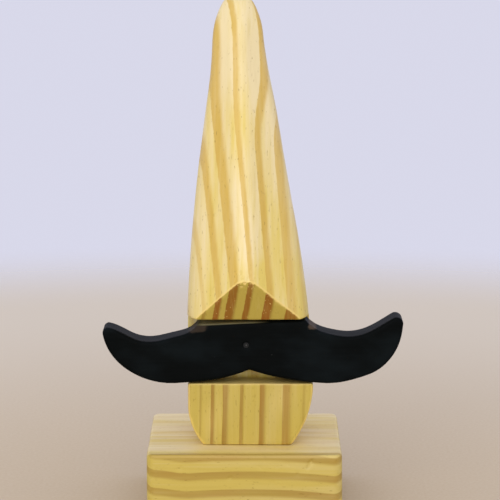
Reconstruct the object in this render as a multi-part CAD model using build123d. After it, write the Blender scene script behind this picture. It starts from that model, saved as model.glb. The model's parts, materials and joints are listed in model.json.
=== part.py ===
"""Eyeglasses display stand: a carved pine nose on a square base, with a moustache board.

Millimetres, +Z up, origin at the centre of the base's underside. The nose points to -Y,
the front, and +X is to the viewer's right. Heights called "above the base" start at the
base's top face, where the nose stands.
"""
from build123d import *
import math
import os

# ---- Base block: a square of thick board, grain along X ----
base_width = 63.0
base_depth = 63.0
base_thickness = 22.0
base_corner_radius = 3.0
base_edge_ease = 0.8

# ---- Nose post: one carved block, grain upright ----
nose_height = 143.0
nose_back = 18.0               # back face, behind the origin
ridge_setback = 3.0            # the ridge's top end, behind the origin
tip_reach = 32.2               # the tip, forward of the origin
tip_height = 56.0              # above the base
ridge_radius = 6.0
ridge_radius_top = 4.4
shoulder_radius = 20.0         # the broad curve from a flank into a side
shoulder_radius_top = 4.0
flank_angle = 45.0             # between each flank and straight back
back_corner_radius = 4.0
back_corner_radius_top = 1.8

# Place between the base (0) and the crown (1), half-width and sideways lean of the nose
nose_stations = [
    (0.0, 20.4, 1.9),
    (0.16, 20.3, 1.9),
    (0.32, 19.8, 1.2),
    (0.49, 17.8, 0.2),
    (0.66, 14.8, -0.8),
    (0.8, 12.1, -1.1),
    (0.92, 9.6, -1.7),
    (1.0, 8.5, -2.1),
]
nose_slices = 20               # evenly spaced, because uneven slices make the surface wave
crown_height = 13.0            # the crown starts to round this far below the top
crown_taper = 0.05             # side taper that carries on through the crown, per mm
crown_inset = 8.4              # sideways half-axis of the crown's ellipse
crown_rise = 16.0              # upright half-axis of the crown's ellipse
crown_steps = 4

# Rounded foot of the nose, seen from the front
foot_left = 13.6               # where the foot meets the base, left of the origin
foot_right = 15.4
foot_left_rise = 14.0          # height above the base at which the side turns in
foot_right_rise = 21.0

# Underside of the nose, notch for the board, and the flat lower face
undercut_run = 9.3             # from the tip back to the mouth of the notch
# Bottom of the notch, above the base. At 19 or less the left edge can't take lower_face_ease.
shelf_height = 20.8
lower_face_top = 19.6          # forward of the origin, at the shelf
lower_face_foot = 17.6         # forward of the origin, at the base
lower_face_ease = 1.0

# ---- Moustache board ----
board_thickness = 12.0
board_proud = 0.9              # its face stands this far in front of the lower face
board_middle_height = 20.9     # from where the lobes rest on their glue to the raised middle
board_middle_fall = 1.6        # the middle's left end is this much lower
board_edge_round = 1.0
glue_line = 0.2                # between the lobes and the shelf
notch_gap = 0.2                # above the raised middle, at the back of the notch
notch_flare = 0.1              # the notch opens this much upwards, towards its mouth

# ---- Screws, from beneath the base into the end grain of the nose ----
screw_diameter = 4.0
screw_length = 40.0
screw_root = 2.7
screw_pitch = 1.8
screw_threads = 13
screw_point = 4.0
screw_head = 8.0
screw_sunk = 1.0               # the head lies this far inside the underside
screw_slot_length = 4.4
screw_slot_width = 1.1
screw_slot_depth = 1.7
screw_behind_notch = 5.0       # both screws stand where the grain is unbroken
screw_from_back = 7.0
screw_side = 0.8               # to the right of the origin
screw_clearance = 0.4          # on the diameter, through the base

# ---- Brad through the middle of the board ----
brad_diameter = 1.2
brad_length = 25.0
brad_head = 1.8
brad_head_thickness = 0.6
brad_side = 0.5                # to the right of the origin
brad_above_lobes = 12.6

# ---- Places that follow from the sizes ----
shelf_z = base_thickness + shelf_height
board_bottom = shelf_z + glue_line
notch_top = board_bottom + board_middle_height + notch_gap
notch_mouth = notch_top + notch_flare
crown_start = nose_height - crown_height
board_front = -(lower_face_top + board_proud)
board_back = board_front + board_thickness
margin = 30.0                  # how far a cutter runs past what it cuts
STAND = (Align.CENTER, Align.CENTER, Align.MIN)


def between(low, high, share):
    return low + (high - low) * share


def ridge_y(height):
    """The ridge is straight, from its top end down to the tip and, before it is cut, beyond."""
    lean = (tip_reach + ridge_setback) / (nose_height - tip_height)
    return ridge_setback - lean * (nose_height - height)


def nose_form(place):
    """Half-width and lean at a place, on smooth curves through the stations."""
    last = len(nose_stations) - 1
    above = next(i for i in range(1, last + 1) if place <= nose_stations[i][0] or i == last)
    low, high = nose_stations[above - 1], nose_stations[above]
    run = high[0] - low[0]
    t = (place - low[0]) / run
    form = []
    for column in (1, 2):
        slopes = []
        for i in (above - 1, above):
            before, after = nose_stations[max(i - 1, 0)], nose_stations[min(i + 1, last)]
            slopes.append((after[column] - before[column]) / (after[0] - before[0]))
        form.append(
            low[column] * (1 + 2 * t) * (1 - t) ** 2
            + slopes[0] * run * t * (1 - t) ** 2
            + high[column] * t ** 2 * (3 - 2 * t)
            - slopes[1] * run * t ** 2 * (1 - t)
        )
    return form


def nose_section(height, half_width, lean, inset=0.0):
    """A level slice of the uncut nose: round ridge, two flanks, two sides and a back."""
    share = height / nose_height
    ridge_r = between(ridge_radius, ridge_radius_top, share)
    shoulder_r = between(shoulder_radius, shoulder_radius_top, share)
    back_r = between(back_corner_radius, back_corner_radius_top, share)
    turn = math.radians(flank_angle)
    out, fore = math.cos(turn), math.sin(turn)
    front = ridge_y(height) + inset
    back = nose_back - inset
    shoulder_x = half_width - shoulder_r
    flank_y = front + ridge_r * (1 - fore)
    shoulder_y = flank_y + ((shoulder_x - ridge_r * out) * out + shoulder_r) / fore

    half = [
        (ridge_r * out, flank_y),
        (shoulder_x + shoulder_r * out, shoulder_y - shoulder_r * fore),
        (shoulder_x + shoulder_r * math.cos(turn / 2), shoulder_y - shoulder_r * math.sin(turn / 2)),
        (half_width, shoulder_y),
        (half_width, back - back_r),
        (half_width - back_r * (1 - math.cos(math.pi / 4)), back - back_r * (1 - math.sin(math.pi / 4))),
        (half_width - back_r, back),
    ]
    right = [(lean + x, y) for x, y in half]
    left = [(lean - x, y) for x, y in half]
    outline = [
        ThreePointArc(left[0], (lean, front), right[0]),
        Line(right[0], right[1]),
        ThreePointArc(right[1], right[2], right[3]),
        Line(right[3], right[4]),
        ThreePointArc(right[4], right[5], right[6]),
        Line(right[6], left[6]),
        ThreePointArc(left[6], left[5], left[4]),
        Line(left[4], left[3]),
        ThreePointArc(left[3], left[2], left[1]),
        Line(left[1], left[0]),
    ]
    return Pos(0, 0, base_thickness + height) * make_face(outline)


def nose_sections():
    """Slices from the foot up, then those of the crown, drawn in along an ellipse."""
    places = [step / nose_slices for step in range(nose_slices + 1)]
    sections = [nose_section(place * crown_start, *nose_form(place)) for place in places]
    half_width, lean = nose_form(1.0)
    for step in range(1, crown_steps + 1):
        rise = crown_height * step / crown_steps
        inset = crown_inset * (1 - math.sqrt(1 - (rise / crown_rise) ** 2))
        width = half_width - crown_taper * rise - inset
        sections.append(nose_section(crown_start + rise, width, lean, inset))
    return sections


def front_cutter():
    """What is cut away in front, seen from the side: undercut, notch and lower face."""
    tip_y = -tip_reach
    tip_z = base_thickness + tip_height
    undercut_y = tip_y + undercut_run
    steepness = (tip_z - notch_mouth) / undercut_run
    outline = Polyline(
        (tip_y - margin, tip_z + steepness * margin),
        (undercut_y, notch_mouth),
        (board_back, notch_top),
        (board_back, shelf_z),
        (-lower_face_top, shelf_z),
        (-lower_face_foot, base_thickness),
        (-lower_face_foot, base_thickness - margin),
        (tip_y - margin, base_thickness - margin),
        close=True,
    )
    return extrude(Plane.YZ * make_face(outline), amount=base_width, both=True)


def foot_cutter(side, foot, rise):
    """Rounds one lower corner of the nose; side is -1 for the left and 1 for the right."""
    half_width, lean = nose_stations[0][1:]
    wall = lean + side * half_width
    low = (side * foot, base_thickness)
    high = (wall, base_thickness + rise)
    outline = [
        TangentArc(high, low, tangent=(0, -1)),
        Polyline(low, (low[0], low[1] - margin), (side * base_width, low[1] - margin),
                 (side * base_width, high[1]), high),
    ]
    return extrude(Plane.XZ * make_face(outline), amount=base_depth, both=True)


def screw_places():
    """Node name and X, Y place of each of the two base screws."""
    return {
        "base_screw_front": (screw_side, board_back + screw_behind_notch),
        "base_screw_rear": (screw_side, nose_back - screw_from_back),
    }


def brad_place():
    """Where the brad's head lies: on the board's face, pointing straight back."""
    return Pos(brad_side, board_front, board_bottom + brad_above_lobes) * Rot(-90, 0, 0)


def lower_face_sides(post):
    """The upright edges where the flat lower face meets the rounded sides."""
    flat = post.faces().filter_by(GeomType.PLANE)
    front = [face for face in flat if face.center().Z < shelf_z and face.normal_at().Y < -0.9]
    return [edge for edge in front[0].edges() if edge.bounding_box().size.Z > lower_face_ease]


def nose_post():
    post = loft(nose_sections())
    post -= front_cutter()
    post -= foot_cutter(-1, foot_left, foot_left_rise)
    post -= foot_cutter(1, foot_right, foot_right_rise)
    post = fillet(lower_face_sides(post), lower_face_ease)
    pilot_length = screw_sunk + screw_length - base_thickness
    for x, y in screw_places().values():
        post -= Pos(x, y, base_thickness) * Cylinder(screw_root / 2, pilot_length, align=STAND)
    post -= brad_place() * Cylinder(brad_diameter / 2, brad_length, align=STAND)
    return post


def board_outline():
    """The moustache, drawn in X and height above the places where it rests on its glue."""
    right_top = (19.6, board_middle_height)
    left_top = (-15.2, board_middle_height - board_middle_fall)
    cusp = (1.6, 4.3)
    return [
        # raised middle, which fills the notch
        Line(left_top, right_top),
        # right shoulder and the dip beyond it
        Spline(right_top, (21.6, 18.9), (24.2, 17.4), (28.0, 16.2), (33.5, 15.4), (39.0, 16.4),
               (43.6, 18.8), (48.2, 21.6)),
        # right tip
        ThreePointArc((48.2, 21.6), (50.5, 21.1), (51.2, 18.7)),
        # right lobe
        Spline((51.2, 18.7), (50.3, 13.9), (47.6, 8.5), (43.1, 4.2), (37.0, 1.6),
               (29.5, -0.1), (22.4, 0.0), (12.0, 1.5), cusp),
        # left lobe
        Spline(cusp, (-8.0, 1.3), (-18.6, 0.0), (-25.6, -0.2), (-33.4, 1.8),
               (-39.9, 5.8), (-44.1, 11.0), (-45.8, 15.8)),
        # left tip
        ThreePointArc((-45.8, 15.8), (-45.5, 17.6), (-44.2, 18.3)),
        # dip and left shoulder
        Spline((-44.2, 18.3), (-40.0, 16.8), (-35.0, 14.4), (-29.5, 13.8), (-23.0, 15.2),
               (-18.0, 16.7), left_top),
    ]


def moustache():
    """Its rims are rounded before it is moved into place, so that its place can't upset them."""
    board = extrude(Plane.XZ * make_face(board_outline()), amount=-board_thickness)
    rims = board.faces().filter_by(Axis.Y).edges()
    board = Pos(0, board_front, board_bottom) * fillet(rims, board_edge_round)
    board -= brad_place() * Cylinder(brad_diameter / 2, brad_length, align=STAND)
    board -= brad_place() * Cylinder(brad_head / 2, brad_head_thickness, align=STAND)
    return board


def base_block():
    block = Box(base_width, base_depth, base_thickness, align=STAND)
    block = fillet(block.edges().filter_by(Axis.Z), base_corner_radius)
    rims = block.faces().filter_by(Axis.Z).edges()
    block = fillet(rims, base_edge_ease)
    for x, y in screw_places().values():
        block -= Pos(x, y, 0) * screw_hole()
    return block


def screw_hole():
    """Clearance hole, opening downwards, with a countersink that the screw's head bears on."""
    shank = (screw_diameter + screw_clearance) / 2
    head = screw_head / 2
    hole = Cylinder(shank, base_thickness, align=STAND)
    hole += Cylinder(head + screw_clearance / 2, screw_sunk, align=STAND)
    hole += Pos(0, 0, screw_sunk) * Cone(head, shank, head - shank, align=STAND)
    return hole


def wood_screw():
    """Countersunk screw standing on its head: cone, plain shank, ridged thread and point."""
    shank, root, head = screw_diameter / 2, screw_root / 2, screw_head / 2
    cone_top = head - shank
    thread_start = screw_length - screw_point - screw_threads * screw_pitch
    profile = [(0, 0), (head, 0), (shank, cone_top), (shank, thread_start), (root, thread_start)]
    for turn in range(screw_threads):
        foot = thread_start + turn * screw_pitch
        profile += [(shank, foot + screw_pitch / 2), (root, foot + screw_pitch)]
    profile += [(0, screw_length)]
    screw = revolve(Plane.XZ * make_face(Polyline(*profile, close=True)), Axis.Z)
    for turn in (0, 90):
        slot = Box(screw_slot_length, screw_slot_width, screw_slot_depth, align=STAND)
        screw -= Rot(0, 0, turn) * slot
    return screw


def moustache_brad():
    head = Cylinder(brad_head / 2, brad_head_thickness, align=STAND)
    shaft_length = brad_length - 2 * brad_diameter
    shaft = Cylinder(brad_diameter / 2, shaft_length, align=STAND)
    point = Pos(0, 0, shaft_length) * Cone(brad_diameter / 2, 0.1, 2 * brad_diameter, align=STAND)
    return brad_place() * (head + shaft + point)


def build_parts():
    nodes = {
        "base_block": base_block(),
        "nose_post": nose_post(),
        "moustache": moustache(),
        "moustache_brad": moustache_brad(),
    }
    for name, (x, y) in screw_places().items():
        nodes[name] = Pos(x, y, screw_sunk) * wood_screw()
    return nodes


os.makedirs("parts", exist_ok=True)
for name, shape in build_parts().items():
    export_step(shape, f"parts/{name}.step")
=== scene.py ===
"""Looks of the eyeglasses display stand: carved pine nose, pine base and painted moustache."""

import json
import math
import random

import bmesh
import bpy
from bpy.props import FloatProperty, FloatVectorProperty, IntProperty, PointerProperty
from bpy.types import Operator, Panel, PropertyGroup
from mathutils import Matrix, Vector, noise

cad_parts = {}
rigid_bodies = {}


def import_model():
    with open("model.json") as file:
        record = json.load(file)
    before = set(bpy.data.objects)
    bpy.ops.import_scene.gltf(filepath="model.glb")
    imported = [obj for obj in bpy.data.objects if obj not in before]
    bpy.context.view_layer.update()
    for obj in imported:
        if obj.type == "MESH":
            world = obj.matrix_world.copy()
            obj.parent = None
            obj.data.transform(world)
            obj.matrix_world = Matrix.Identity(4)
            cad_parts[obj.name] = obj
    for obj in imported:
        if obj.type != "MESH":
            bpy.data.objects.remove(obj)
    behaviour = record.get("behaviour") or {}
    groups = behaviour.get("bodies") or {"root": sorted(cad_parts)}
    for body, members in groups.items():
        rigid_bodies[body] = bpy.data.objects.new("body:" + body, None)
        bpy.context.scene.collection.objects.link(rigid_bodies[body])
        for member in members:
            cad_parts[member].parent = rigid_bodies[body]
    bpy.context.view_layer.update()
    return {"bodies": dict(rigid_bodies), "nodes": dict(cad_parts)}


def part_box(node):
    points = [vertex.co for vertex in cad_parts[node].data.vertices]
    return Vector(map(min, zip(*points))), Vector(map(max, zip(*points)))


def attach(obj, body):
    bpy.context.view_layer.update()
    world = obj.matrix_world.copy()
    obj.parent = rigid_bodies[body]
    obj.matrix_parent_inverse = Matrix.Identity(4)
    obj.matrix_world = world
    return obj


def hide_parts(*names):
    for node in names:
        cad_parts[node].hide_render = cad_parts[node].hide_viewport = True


bl_info = {
    "name": "Eyeglasses Display Stand",
    "version": (1, 0, 0),
    "blender": (4, 5, 0),
    "location": "3D View > Sidebar > Stand",
    "description": "Builds the wood, paint and studio of a carved eyeglasses display stand",
    "category": "Object",
}

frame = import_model()

MM = 0.001
BODY = next(iter(frame["bodies"]))
NOSE_LOW, NOSE_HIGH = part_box("nose_post")
BASE_LOW, BASE_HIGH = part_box("base_block")
BOARD_LOW, BOARD_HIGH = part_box("moustache")
BRAD_LOW, BRAD_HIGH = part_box("moustache_brad")
BASE_TOP = BASE_HIGH.z / MM
NOSE_TIP_Y = NOSE_LOW.y / MM
UNDERCUT_RUN = 9.3
UNDERCUT_FOOT_Y = NOSE_TIP_Y + UNDERCUT_RUN
UNDERCUT_FOOT_Z = 64.2
UNDERCUT_SLOPE = 13.8 / UNDERCUT_RUN
NOTCH_MIDDLE_Z = 60.0
TIP_X = -0.6
TIP_RISE = 56.0
BEND_LOW_Z, BEND_HIGH_Z = 118.0, 142.0
LEAN_LOW_Z, CROWN_Z = 125.0, 165.0
SHELF_Z = 42.8
LOWER_FACE_Y = -19.6
LOWER_FACE_SLOPE = 2.0 / 20.8
BOARD_MIDDLE_Z = 63.9
BOARD_MIDDLE_X = 19.6
BOARD_MIDDLE_SLOPE = 1.6 / 34.8
BRAD_X = (BRAD_LOW.x + BRAD_HIGH.x) / 2 / MM
BRAD_Z = (BRAD_LOW.z + BRAD_HIGH.z) / 2 / MM

# Base rings: how far apart they lie upwards and backwards (mm)
RING_RISE = 5.8
RING_RUN = 8.0

# How fine the grain is along X, Y and Z; 0 is along the fibres
NOSE_GRAIN = (1.0, 0.18, 0.0)
BASE_GRAIN = (0.0, 1.0, 1.0)

# Camera, and the height that the light points at (m)
CAMERA_PLACE = (0.001759, -0.838667, 0.213857)
LIGHT_AIM_Z = 0.08

# Growth rings of the nose: sideways place (mm), width (mm), strength, and share of orange
NOSE_RINGS = [
    (-22.4, 1.6, 0.7, 0.2),
    (-18.2, 1.2, 0.6, 0.1),
    (-14.3, 0.8, 0.55, 0.0),
    (-10.4, 1.3, 0.9, 0.6),
    (-6.3, 1.9, 0.95, 0.35),
    (-1.0, 1.3, 0.9, 0.3),
    (5.65, 1.9, 0.95, 0.5),
    (13.6, 2.75, 0.8, 0.7),
    (19.2, 1.0, 0.4, 0.2),
    (23.6, 1.9, 0.8, 0.4),
    (28.4, 1.5, 0.7, 0.3),
]


# ---- Sizes and colours that a user may change ----

def colour(name, description, value):
    return FloatVectorProperty(
        name=name, description=description, subtype="COLOR", size=3, min=0.0, max=1.0, default=value)


def length(name, description, value):
    return FloatProperty(
        name=name, description=description, subtype="DISTANCE", unit="LENGTH", precision=5, default=value)


class StandPine(PropertyGroup):
    """Pine under clear lacquer."""
    grid: length("Carving Grid", "Size of the small facets that the wood is carved from", 0.0005)
    sanding: length("Sanding Waves", "Depth of the shallow waves that hand sanding leaves", 0.00018)
    pale: colour("Pale Wood", "Spring wood at its lightest", (0.85, 0.70, 0.36))
    yellow: colour("Yellow Wood", "Spring wood that the lacquer has warmed", (0.76, 0.58, 0.12))
    cut: colour("Cut Wood", "Spring wood on the saw-cut faces, where lacquer soaks in", (0.51, 0.385, 0.062))
    late: colour("Late Wood", "Dark line that closes each ring", (0.27, 0.155, 0.008))
    orange: colour("Resin Orange", "Late wood that is rich in resin", (0.31, 0.11, 0.006))
    line: colour("Carved Line", "A ring where the carving crosses it at a slant", (0.66, 0.43, 0.070))


class StandPaint(PropertyGroup):
    """Satin black paint on the moustache."""
    grid: length("Carving Grid", "Size of the small facets that the board is carved from", 0.0004)
    black: colour("Paint", "Colour of the paint", (0.0012, 0.0020, 0.0019))
    worn: colour("Worn Patch", "Brown where the paint is rubbed thin", (0.085, 0.06, 0.04))


class StandStudio(PropertyGroup):
    """Floor, light and camera."""
    # The floor under the stand is darker than the far floor: painted shade.
    floor_near_painted_shade: colour("Floor", "Floor under the stand", (0.56, 0.45, 0.295))
    floor_far: colour("Far Floor", "Floor further from the stand", (0.69, 0.61, 0.47))
    wall: colour("Backdrop", "Pale backdrop beyond the floor", (0.69, 0.69, 0.82))
    floor_edge: length("Floor Edge", "Distance at which the floor fades into the backdrop", 0.5)
    lens: FloatProperty(name="Lens", description="Focal length", subtype="DISTANCE_CAMERA", default=186.2)
    tilt: FloatProperty(
        name="Camera Tilt", description="How far the camera looks down", subtype="ANGLE",
        default=math.radians(8.838))
    seed: IntProperty(name="Seed", description="Seed of every random mark", default=7)


# ---- Shader maths written as expressions ----

class Socket:
    """A shader value; Python operators on it add Math nodes."""

    def __init__(self, tree, link):
        self.tree, self.link = tree, link

    def math(self, operation, *others, **settings):
        return self.tree.node("ShaderNodeMath", (self, *others), operation=operation, **settings)

    def __add__(self, other):
        return self.math("ADD", other)

    def __sub__(self, other):
        return self.math("SUBTRACT", other)

    def __mul__(self, other):
        return self.math("MULTIPLY", other)

    def __truediv__(self, other):
        return self.math("DIVIDE", other)

    def __rsub__(self, other):
        return self.tree.node("ShaderNodeMath", (other, self), operation="SUBTRACT")

    def __rtruediv__(self, other):
        return self.tree.node("ShaderNodeMath", (other, self), operation="DIVIDE")

    __radd__ = __add__
    __rmul__ = __mul__

    def clamp(self):
        return self.math("ADD", 0.0, use_clamp=True)

    def smooth(self, low, high):
        """0 below low, 1 above high, with a smooth rise between."""
        return self.tree.node(
            "ShaderNodeMapRange", (self, low, high, 0.0, 1.0), interpolation_type="SMOOTHSTEP")


class Finish:
    """One material's node tree."""

    def __init__(self, name):
        self.material = bpy.data.materials.new(name)
        self.material.use_nodes = True
        self.nodes = self.material.node_tree.nodes
        self.links = self.material.node_tree.links
        self.nodes.clear()
        self.output = self.nodes.new("ShaderNodeOutputMaterial")

    def node(self, kind, values=(), output=0, **settings):
        """Adds a node: settings first, then a value or a link for each socket, by place or name."""
        made = self.nodes.new(kind)
        for key, value in settings.items():
            setattr(made, key, value)
        pairs = values.items() if isinstance(values, dict) else enumerate(values)
        for key, value in pairs:
            self.feed(made.inputs[key], value)
        return Socket(self, made.outputs[output])

    def feed(self, socket, value):
        if isinstance(value, Socket):
            self.links.new(value.link, socket)
        elif hasattr(socket.default_value, "__len__") and len(socket.default_value) == 4:
            socket.default_value = (*value[:3], 1.0)
        else:
            socket.default_value = value

    def place(self):
        """X, Y and Z of the surface point in millimetres, and the point itself."""
        point = self.node("ShaderNodeTexCoord", output="Object")
        scaled = self.node("ShaderNodeVectorMath", {0: point, "Scale": 1 / MM}, operation="SCALE")
        parts = self.node("ShaderNodeSeparateXYZ", (scaled,))
        axes = parts.link.node.outputs
        return [Socket(self, axes[i]) for i in range(3)] + [scaled]

    def noise(self, vector, stretch, detail=2.0, lower=0.0):
        """Noise of about 0 to 1; stretch gives cells per millimetre along X, Y and Z, and lower moves it."""
        mapped = self.node("ShaderNodeMapping", {
            "Vector": vector, "Scale": stretch, "Location": (lower, lower * 0.7, -lower)})
        return self.node("ShaderNodeTexNoise", {
            "Vector": mapped, "Scale": 1.0, "Detail": detail, "Roughness": 0.5})

    def mix(self, share, first, second):
        """A colour between two others."""
        made = self.nodes.new("ShaderNodeMix")
        made.data_type = "RGBA"
        sockets = [s for s in made.inputs if s.enabled]
        for socket, value in zip(sockets, (share, first, second)):
            self.feed(socket, value)
        return Socket(self, next(s for s in made.outputs if s.enabled))

    def bump(self, height, distance):
        """A normal that is roughened by a height; distance is in metres."""
        return self.node("ShaderNodeBump", {"Strength": 1.0, "Distance": distance, "Height": height})

    def surface(self, **values):
        shader = self.node("ShaderNodeBsdfPrincipled", {
            key.replace("_", " "): value for key, value in values.items()})
        self.links.new(shader.link, self.output.inputs["Surface"])
        return self.material


def marks(finish, point, stretch, threshold, lower=0.0):
    """Scattered short strokes: 1 on a stroke and 0 elsewhere."""
    spots = finish.noise(point, stretch, detail=1.0, lower=lower)
    return spots.smooth(threshold, threshold + 0.035)


# ---- Pine ----

def pine(name, rings, grain, settings):
    """Lacquered pine. rings(finish, x, y, z, point) gives late wood, orange, cut faces, warmth and a mask of
    painted highlights, which on the nose also holds pale resin specks.
    """
    finish = Finish(name)
    x, y, z, point = finish.place()
    late, orange, cut, warmth, painted_highlight = rings(finish, x, y, z, point)
    fine = finish.noise(point, along(grain, 2.6, 0.06), detail=4.0)
    broad = finish.noise(point, along(grain, 0.13, 0.018), lower=31.0)
    streak = finish.noise(point, along(grain, 0.8, 0.018), detail=3.0, lower=9.0)

    sawn = (warmth + (broad - 0.5) * 2.6 + (streak - 0.5) * 1.2).clamp()
    spring = finish.mix(sawn, settings.pale, settings.yellow)
    spring = finish.mix(cut, spring, settings.cut)
    dark = finish.mix(orange, settings.late, settings.orange)
    dark = finish.mix((cut * 1.3 + orange * 0.12).clamp(), settings.line, dark)
    wood = finish.mix((late * (0.7 + streak * 0.6)).clamp(), spring, dark)
    tone = (fine - 0.5) * 0.3 + (streak - 0.5) * 0.3
    wood = finish.mix(tone.smooth(0.0, 0.24) * 0.26, wood, settings.late)
    wood = finish.mix((0.0 - tone).smooth(0.0, 0.24) * 0.20, wood, settings.pale)
    pores = marks(finish, point, along(grain, 3.1, 0.55), 0.705, lower=3.0)
    wood = finish.mix(pores * 0.5, wood, settings.late)
    # Painted highlight: edges and the notch's ledge mixed towards light yellow; on the nose this also draws
    # pale resin specks.
    wood = finish.mix(painted_highlight, wood, (0.90, 0.66, 0.20))

    relief = finish.bump(fine * 0.6 + late * 0.6 - pores, 0.00003)
    gloss = 0.50 + (streak - 0.5) * 0.16 + cut * 0.12
    return finish.surface(
        Base_Color=wood, Roughness=gloss, Normal=relief, Specular_IOR_Level=0.4,
        Coat_Weight=0.12, Coat_Roughness=0.32, Coat_IOR=1.48)


def along(grain, across, lengthwise):
    """Noise cells per millimetre; grain gives each axis's share, with 0 along the fibres."""
    return [across * share if share else lengthwise for share in grain]


def nose_rings(finish, x, y, z, point):
    """Upright rings, sharp on the left and fading to the right; the right ones bend out near the top.

    The masks pick out the undercut, the flat lower face, pale resin specks on the undercut, and painted
    light: highlights along the undercut's upper edge and the lower face's side edges, and paleness on the
    ledge of the notch where the board shades it.
    """
    lean = z.smooth(LEAN_LOW_Z, CROWN_Z) * 2.5
    bend = (x + 2.0).math("MAXIMUM", 0.0) * z.smooth(BEND_LOW_Z, BEND_HIGH_Z) * 0.5
    sway = finish.noise(point, (0.02, 0.02, 0.012), detail=1.0, lower=50.0)
    ragged = finish.noise(point, (0.8, 0.8, 0.10), detail=3.0, lower=14.0)
    across = x + (y + 19.0) * 0.25 - lean - bend + (sway - 0.5) * 0.8 + (ragged - 0.5) * 0.5
    lift = z - UNDERCUT_FOOT_Z - (UNDERCUT_FOOT_Y - y) * UNDERCUT_SLOPE
    above_notch = (z - NOTCH_MIDDLE_Z).smooth(0.0, 1.0)
    under = (1.0 - lift.smooth(0.35, 0.8)) * above_notch
    behind = y - LOWER_FACE_Y - (SHELF_Z - z) * LOWER_FACE_SLOPE
    lower = (1.0 - behind.smooth(0.1, 0.35)) * (1.0 - z.smooth(SHELF_Z - 0.4, SHELF_Z))
    # Painted highlight: a pale band along the sharp edge above the undercut.
    painted_arris_highlight = lift.smooth(0.35, 0.7) * (1.0 - lift.smooth(1.0, 1.7)) * above_notch
    # Painted highlight: pale bands along the eased side edges of the flat lower face.
    painted_highlight = behind.smooth(0.1, 0.4) * (1.0 - behind.smooth(0.7, 1.3))
    painted_highlight = painted_highlight * (1.0 - z.smooth(SHELF_Z - 0.8, SHELF_Z - 0.2))
    specks = marks(finish, point, (1.5, 1.5, 1.5), 0.70, lower=17.0)
    slant = 1.0 - (under + lower).clamp()
    late = orange = None
    for place, width, strength, tint in NOSE_RINGS:
        beside = across - place
        edge = (beside + width / 2 + under * (width * 0.2)).smooth(0.0, 0.3)
        reach = beside - under * (width * 0.4) - slant * (width * 0.35)
        fade = 1.0 - reach.smooth(width * 0.1, width * 0.9)
        ring = edge * fade * strength
        late = ring if late is None else late + ring
        orange = ring * tint if orange is None else orange + ring * tint

    patchy = finish.noise(point, (0.15, 0.15, 0.06), detail=2.0, lower=77.0)
    orange = (orange * (patchy * 2.0 - 0.2) + (under * 0.55 + lower * 0.3) * late).clamp()
    strength = 0.92 - lower * 0.2 + under * 0.2
    cut = (under + lower * 0.8).clamp()
    middle = across.smooth(-5.6, -4.6) * (1.0 - across.smooth(4.0, 5.4)) * z.smooth(80.0, 88.0)
    warmth = 0.72 - middle * 0.5 - z.smooth(118.0, 150.0) * 0.1
    # Painted light: the ledge of the notch under the moustache is made pale where the board shades it.
    painted_shelf_light = (z - SHELF_Z).smooth(-0.5, -0.2) * (1.0 - (z - SHELF_Z).smooth(0.2, 0.5))
    painted_shelf_light = painted_shelf_light * (1.0 - y.smooth(-10.0, -9.0))
    # The painted highlights, summed with pale resin specks in the late wood of the undercut.
    highlights_and_resin_specks = painted_arris_highlight * 0.6 + painted_highlight * 0.45 + painted_shelf_light * 0.8 + under * late.clamp() * specks * 0.8
    return (late * strength).clamp(), orange, cut, warmth, highlights_and_resin_specks.clamp()


def base_rings(finish, x, y, z, point):
    """Flat-lying rings that rise towards the back and bow a little from side to side."""
    bow = x * x * 0.00035 - (x + 17.0).smooth(0.0, -14.0) * 0.38
    sway = finish.noise(point, (0.012, 0.03, 0.03), detail=2.0, lower=20.0)
    ragged = finish.noise(point, (0.05, 0.7, 0.7), detail=2.0, lower=64.0)
    ring = z / RING_RISE - y / RING_RUN + bow + (sway - 0.5) * 0.3 + (ragged - 0.5) * 0.10
    place = (ring + 0.18).math("FRACT")
    late = place.smooth(0.46, 0.66) * (1.0 - place.smooth(0.94, 1.0))
    patchy = finish.noise(point, (0.05, 0.15, 0.15), detail=2.0, lower=41.0)
    orange = (late * (patchy * 2.0 - 0.85)).clamp() + x.smooth(25.0, 31.0) * late * 0.35
    # Painted highlight: a pale band along the upper front edge.
    painted_highlight = (y + 31.4).smooth(0.8, 0.0) * (z - BASE_TOP).smooth(-1.4, -0.4)
    # Painted sheen: the upper face, apart from a strip along its front, is made paler and lighter, with
    # fainter rings.
    top = (z - BASE_TOP).smooth(-0.9, -0.3) * (y + 31.0).smooth(1.0, 5.0)
    return late * (0.60 - top * 0.42), orange, 0.62 - top * 0.6, 0.75 - top * 0.35, painted_highlight * 0.22


# ---- Pieces ----

SMOOTHING_PASSES = 2

def copy_of(node, name):
    """A merged copy of a CAD node's mesh as a new piece, which stands for that node."""
    mesh = frame["nodes"][node].data.copy()
    mesh.name = name
    mesh.materials.clear()
    piece = bpy.data.objects.new(name, mesh)
    bpy.context.scene.collection.objects.link(piece)
    form = bmesh.new()
    form.from_mesh(mesh)
    bmesh.ops.remove_doubles(form, verts=form.verts, dist=0.000002)
    form.to_mesh(mesh)
    form.free()
    return piece


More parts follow.
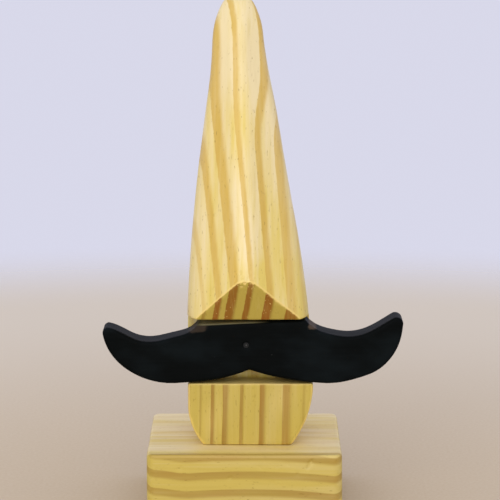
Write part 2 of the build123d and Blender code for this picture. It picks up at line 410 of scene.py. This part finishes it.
def carve(piece, grid, shape, low, high):
    """Remeshes a piece to a fine grid, softens it, and moves each point by shape(point, normal)."""
    remesh = piece.modifiers.new("Fine grid", "REMESH")
    remesh.mode = "VOXEL"
    remesh.voxel_size = grid
    graph = bpy.context.evaluated_depsgraph_get()
    fine = bpy.data.meshes.new_from_object(piece.evaluated_get(graph))
    piece.modifiers.clear()
    piece.data = fine
    fine.name = piece.name
    form = bmesh.new()
    form.from_mesh(fine)
    for _ in range(SMOOTHING_PASSES):
        bmesh.ops.smooth_vert(
            form, verts=form.verts, factor=0.5, use_axis_x=True, use_axis_y=True, use_axis_z=True)
    form.normal_update()
    moves = [shape(vert.co / MM, vert.normal) for vert in form.verts]
    for vert, move in zip(form.verts, moves):
        moved = vert.co + vert.normal * move * MM
        vert.co = Vector(min(max(moved[i], low[i]), high[i]) for i in range(3))
    for face in form.faces:
        face.smooth = True
    form.to_mesh(fine)
    form.free()
    fine.update()


def settle(piece, material, slot, *nodes):
    """Gives a piece its finish and fixes it to the stand."""
    piece.data.materials.clear()
    piece.data.materials.append(material)
    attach(piece, BODY)
    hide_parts(*nodes)


def near_line(point, first, last, width):
    """1 on the line from first to last, falling to 0 at width away."""
    along = last - first
    share = min(max((point - first).dot(along) / along.length_squared, 0.0), 1.0)
    away = (point - first - along * share).length / width
    return max(0.0, 1.0 - away * away) ** 2


class STAND_OT_nose(Operator):
    """Carve the nose from pine, with sanding waves and torn fibres at its tip."""
    bl_idname = "stand.nose"
    bl_label = "Carve Nose"

    def execute(self, context):
        pine_settings = context.scene.stand_pine
        depth = pine_settings.sanding / MM
        tip = Vector((TIP_X, NOSE_TIP_Y, BASE_TOP + TIP_RISE))
        piece = copy_of("nose_post", "carved_nose")

        def worked(point, normal):
            wave = noise.noise(Vector((point.x * 0.09, point.y * 0.09, point.z * 0.045))) - 0.5
            grain = noise.noise(Vector((point.x * 1.1, point.y * 1.1, point.z * 0.05 + 9.0)))
            move = depth * wave + 0.025 * grain - 0.02
            torn = max(0.0, 1.0 - (point - tip).length / 6.0)
            if torn:
                tear = noise.noise(Vector((point.x * 1.7, point.y * 0.8, point.z * 0.7)))
                move -= torn * max(0.0, tear) * 1.3
            return min(move, 0.0)

        carve(piece, pine_settings.grid, worked, NOSE_LOW, NOSE_HIGH)
        wood = pine("Pine, upright grain", nose_rings, NOSE_GRAIN, pine_settings)
        settle(piece, wood, "pine_nose", "nose_post")
        return {"FINISHED"}


class STAND_OT_base(Operator):
    """Cut the square base, with saw waves, a dent and small chips along its front edge."""
    bl_idname = "stand.base"
    bl_label = "Cut Base"

    def execute(self, context):
        pine_settings = context.scene.stand_pine
        depth = pine_settings.sanding / MM
        front = BASE_LOW.y / MM
        draw = random.Random(context.scene.stand_studio.seed)
        dents = [(Vector((20.2, front, BASE_TOP - 4.3)), Vector((21.6, front, BASE_TOP - 1.8)), 0.7, 0.45)]
        for _ in range(14):
            start = Vector((draw.uniform(-29.0, 29.0), front, BASE_TOP - draw.uniform(0.2, 9.0)))
            run = Vector((draw.uniform(-0.8, 0.8), 0.0, draw.uniform(-0.6, 0.6)))
            dents.append((start, start + run, draw.uniform(0.4, 0.8), draw.uniform(0.08, 0.22)))
        piece = copy_of("base_block", "square_base")

        def worked(point, normal):
            wave = noise.noise(Vector((point.x * 0.05, point.y * 0.08, point.z * 0.08 + 4.0))) - 0.5
            grain = noise.noise(Vector((point.x * 0.05 + 3.0, point.y * 1.1, point.z * 1.1)))
            move = depth * wave + 0.02 * grain - 0.02
            if point.y < front + 2.5:
                for first, last, width, deep in dents:
                    move -= deep * near_line(point, first, last, width)
            return min(move, 0.0)

        carve(piece, pine_settings.grid, worked, BASE_LOW, BASE_HIGH)
        wood = pine("Pine, level grain", base_rings, BASE_GRAIN, pine_settings)
        settle(piece, wood, "pine_base", "base_block")
        return {"FINISHED"}


class STAND_OT_moustache(Operator):
    """Shape the moustache and paint it black, rubbed thin at its shoulders."""
    bl_idname = "stand.moustache"
    bl_label = "Paint Moustache"

    def execute(self, context):
        paint = context.scene.stand_paint
        piece = copy_of("moustache", "painted_moustache")

        def worked(point, normal):
            wave = noise.noise(Vector((point.x * 0.08, point.y * 0.11, point.z * 0.11 + 2.0))) - 0.5
            brush = noise.noise(Vector((point.x * 0.07, point.y * 0.9, point.z * 0.9)))
            return min(0.16 * wave + 0.025 * brush - 0.015, 0.0)

        carve(piece, paint.grid, worked, BOARD_LOW, BOARD_HIGH)
        settle(piece, black_paint(paint), "black_paint", "moustache")
        return {"FINISHED"}


def patch(finish, x, z, centre, size, ragged):
    """1 inside an oval patch with a ragged edge."""
    across = (x - centre[0]) / size[0]
    up = (z - centre[1]) / size[1]
    away = (across * across + up * up).math("SQRT") + (ragged - 0.5) * 0.9
    return 1.0 - away.smooth(0.65, 1.0)


def black_paint(paint):
    finish = Finish("Satin black paint")
    x, y, z, point = finish.place()
    brushed = finish.noise(point, (0.05, 1.4, 1.4), detail=4.0)
    cloud = finish.noise(point, (0.05, 0.09, 0.09), detail=3.0, lower=12.0)
    ragged = finish.noise(point, (0.35, 0.5, 0.5), detail=4.0, lower=5.0)
    left = patch(finish, x, z, (-16.5, 61.5), (4.6, 2.2), ragged)
    right = patch(finish, x, z, (22.4, 62.0), (2.2, 1.6), ragged)
    tone = finish.mix(cloud.smooth(0.35, 0.65), paint.black, (0.0042, 0.0066, 0.0072))
    tone = finish.mix((left * 0.4 + right * 0.8).clamp(), tone, paint.worn)
    # A pale olive strip on the board's upper face inside the notch, made lighter than it would look in the
    # notch's shade: partly the board's own colour there, partly painted light.
    above = z - BOARD_MIDDLE_Z + (BOARD_MIDDLE_X - x) * BOARD_MIDDLE_SLOPE
    middle = above.smooth(-0.7, -0.3) * (y + 20.3).smooth(0.0, 0.5)
    middle = middle * (x + 16.0).smooth(0.0, 3.0) * (1.0 - x.smooth(0.0, 9.0))
    tone = finish.mix(middle * 0.9, tone, (0.30, 0.29, 0.17))
    specks = marks(finish, point, (1.1, 1.4, 1.4), 0.78, lower=8.0)
    tone = finish.mix(specks * 0.35, tone, (0.09, 0.09, 0.085))
    relief = finish.bump(brushed * 0.7 + ragged * 0.5, 0.00006)
    return finish.surface(
        Base_Color=tone, Roughness=0.55 + (cloud - 0.5) * 0.2, Normal=relief, Specular_IOR_Level=0.04)


class STAND_OT_fastenings(Operator):
    """Finish the brad and the two wood screws."""
    bl_idname = "stand.fastenings"
    bl_label = "Finish Fastenings"

    def execute(self, context):
        nodes = frame["nodes"]
        painted = painted_head(context.scene.stand_paint)
        zinc = yellow_zinc()
        for name, material in (
            ("moustache_brad", painted), ("base_screw_front", zinc), ("base_screw_rear", zinc)):
            slots = nodes[name].material_slots
            if not slots:
                raise RuntimeError(f"{name} has no material slot")
            for held in slots:
                held.material = material
        return {"FINISHED"}


def painted_head(paint):
    finish = Finish("Brad, painted over")
    x, y, z, point = finish.place()
    across, up = x - BRAD_X, z - BRAD_Z
    away = (across * across + up * up).math("SQRT")
    scratch = finish.noise(point, (2.4, 2.4, 2.4), detail=2.0)
    bare = (1.0 - (away + (scratch - 0.5) * 0.5).smooth(0.10, 0.30)) * 0.25
    tone = finish.mix(bare, paint.black, (0.34, 0.33, 0.31))
    return finish.surface(
        Base_Color=tone, Metallic=bare, Roughness=0.45 - bare * 0.1,
        Normal=finish.bump(scratch, 0.00004), Specular_IOR_Level=0.22)


def yellow_zinc():
    finish = Finish("Yellow zinc")
    x, y, z, point = finish.place()
    cloud = finish.noise(point, (0.5, 0.5, 0.5), detail=3.0)
    fine = finish.noise(point, (5.0, 5.0, 5.0), detail=2.0, lower=6.0)
    tone = finish.mix(cloud.smooth(0.3, 0.7), (0.60, 0.47, 0.22), (0.66, 0.60, 0.40))
    return finish.surface(
        Base_Color=tone, Metallic=1.0, Roughness=0.30 + (cloud - 0.5) * 0.15,
        Normal=finish.bump(fine, 0.00001))


class STAND_OT_studio(Operator):
    """Lay the pale floor and set the soft lights and the camera."""
    bl_idname = "stand.studio"
    bl_label = "Set Studio"

    def execute(self, context):
        studio = context.scene.stand_studio
        scene = context.scene
        scene.view_settings.view_transform = "Standard"
        world = bpy.data.worlds.new("Soft room")
        world.use_nodes = True
        soft_room(world.node_tree, studio)
        scene.world = world

        form = bmesh.new()
        bmesh.ops.create_circle(form, cap_ends=True, segments=128, radius=1.2)
        mesh = bpy.data.meshes.new("Floor")
        form.to_mesh(mesh)
        form.free()
        floor = bpy.data.objects.new("Floor", mesh)
        scene.collection.objects.link(floor)
        mesh.materials.append(floor_cloth(studio))

        soft_light("Front light", (-0.2, -1.35, 0.5), 1.4, 11.0, (1.0, 0.97, 0.92))

        lens = bpy.data.cameras.new("Camera")
        lens.sensor_width = 36.0
        lens.lens = studio.lens
        lens.dof.use_dof = False
        camera = bpy.data.objects.new("Camera", lens)
        scene.collection.objects.link(camera)
        camera.location = CAMERA_PLACE
        camera.rotation_euler = (math.pi / 2 - studio.tilt, 0.0, 0.0)
        scene.camera = camera
        return {"FINISHED"}


def soft_room(tree, studio):
    """Backdrop colour all round, a little brighter overhead."""
    direction = tree.nodes.new("ShaderNodeTexCoord")
    parts = tree.nodes.new("ShaderNodeSeparateXYZ")
    fall = tree.nodes.new("ShaderNodeMapRange")
    fall.interpolation_type = "SMOOTHSTEP"
    for key, value in zip(("From Min", "From Max", "To Min", "To Max"), (0.2, 0.75, 1.0, 1.25)):
        fall.inputs[key].default_value = value
    room = tree.nodes["Background"]
    room.inputs["Color"].default_value = (*studio.wall, 1.0)
    tree.links.new(direction.outputs["Generated"], parts.inputs[0])
    tree.links.new(parts.outputs["Z"], fall.inputs["Value"])
    tree.links.new(fall.outputs[0], room.inputs["Strength"])


def soft_light(name, place, size, power, tint):
    """A large square light that faces the stand."""
    data = bpy.data.lights.new(name, "AREA")
    data.size = size
    data.energy = power
    data.color = tint
    light = bpy.data.objects.new(name, data)
    light.location = place
    towards = Vector((0.0, 0.0, LIGHT_AIM_Z)) - light.location
    light.rotation_euler = towards.to_track_quat("-Z", "Y").to_euler()
    bpy.context.scene.collection.objects.link(light)


def floor_cloth(studio):
    """Pale floor, darker and browner close to the stand as painted shade, that fades out into the backdrop.
    """
    finish = Finish("Pale floor")
    x, y, z, point = finish.place()
    away = (x * x + y * y).math("SQRT")
    weave = finish.noise(point, (0.9, 0.9, 0.9), detail=3.0)
    edge = studio.floor_edge / MM
    tone = finish.mix(away.smooth(edge * 0.1, edge * 0.75), studio.floor_near_painted_shade, studio.floor_far)
    tone = finish.mix(weave.smooth(0.3, 0.7) * 0.22, tone, studio.floor_far)
    cloth = finish.node("ShaderNodeBsdfPrincipled", {"Base Color": tone, "Roughness": 0.9})
    clear = finish.node("ShaderNodeBsdfTransparent")
    mixed = finish.node("ShaderNodeMixShader", {
        0: away.smooth(edge * 0.72, edge * 1.12), 1: cloth, 2: clear})
    finish.links.new(mixed.link, finish.output.inputs["Surface"])
    return finish.material


class STAND_PT_panel(Panel):
    """Lists the stand's pieces and their settings."""
    bl_label = "Eyeglasses Stand"
    bl_idname = "STAND_PT_panel"
    bl_space_type = "VIEW_3D"
    bl_region_type = "UI"
    bl_category = "Stand"

    def draw(self, context):
        for operator in OPERATORS:
            self.layout.operator(operator.bl_idname)
        for group in ("stand_pine", "stand_paint", "stand_studio"):
            settings = getattr(context.scene, group)
            box = self.layout.box()
            for name in settings.__annotations__:
                box.prop(settings, name)


OPERATORS = [STAND_OT_nose, STAND_OT_base, STAND_OT_moustache, STAND_OT_fastenings, STAND_OT_studio]
CLASSES = [StandPine, StandPaint, StandStudio, *OPERATORS, STAND_PT_panel]


def register():
    for made in CLASSES:
        bpy.utils.register_class(made)
    bpy.types.Scene.stand_pine = PointerProperty(type=StandPine)
    bpy.types.Scene.stand_paint = PointerProperty(type=StandPaint)
    bpy.types.Scene.stand_studio = PointerProperty(type=StandStudio)


def unregister():
    del bpy.types.Scene.stand_pine
    del bpy.types.Scene.stand_paint
    del bpy.types.Scene.stand_studio
    for made in reversed(CLASSES):
        bpy.utils.unregister_class(made)


def main():
    register()
    bpy.ops.stand.nose()
    bpy.ops.stand.base()
    bpy.ops.stand.moustache()
    bpy.ops.stand.fastenings()
    bpy.ops.stand.studio()


if __name__ == "__main__":
    main()
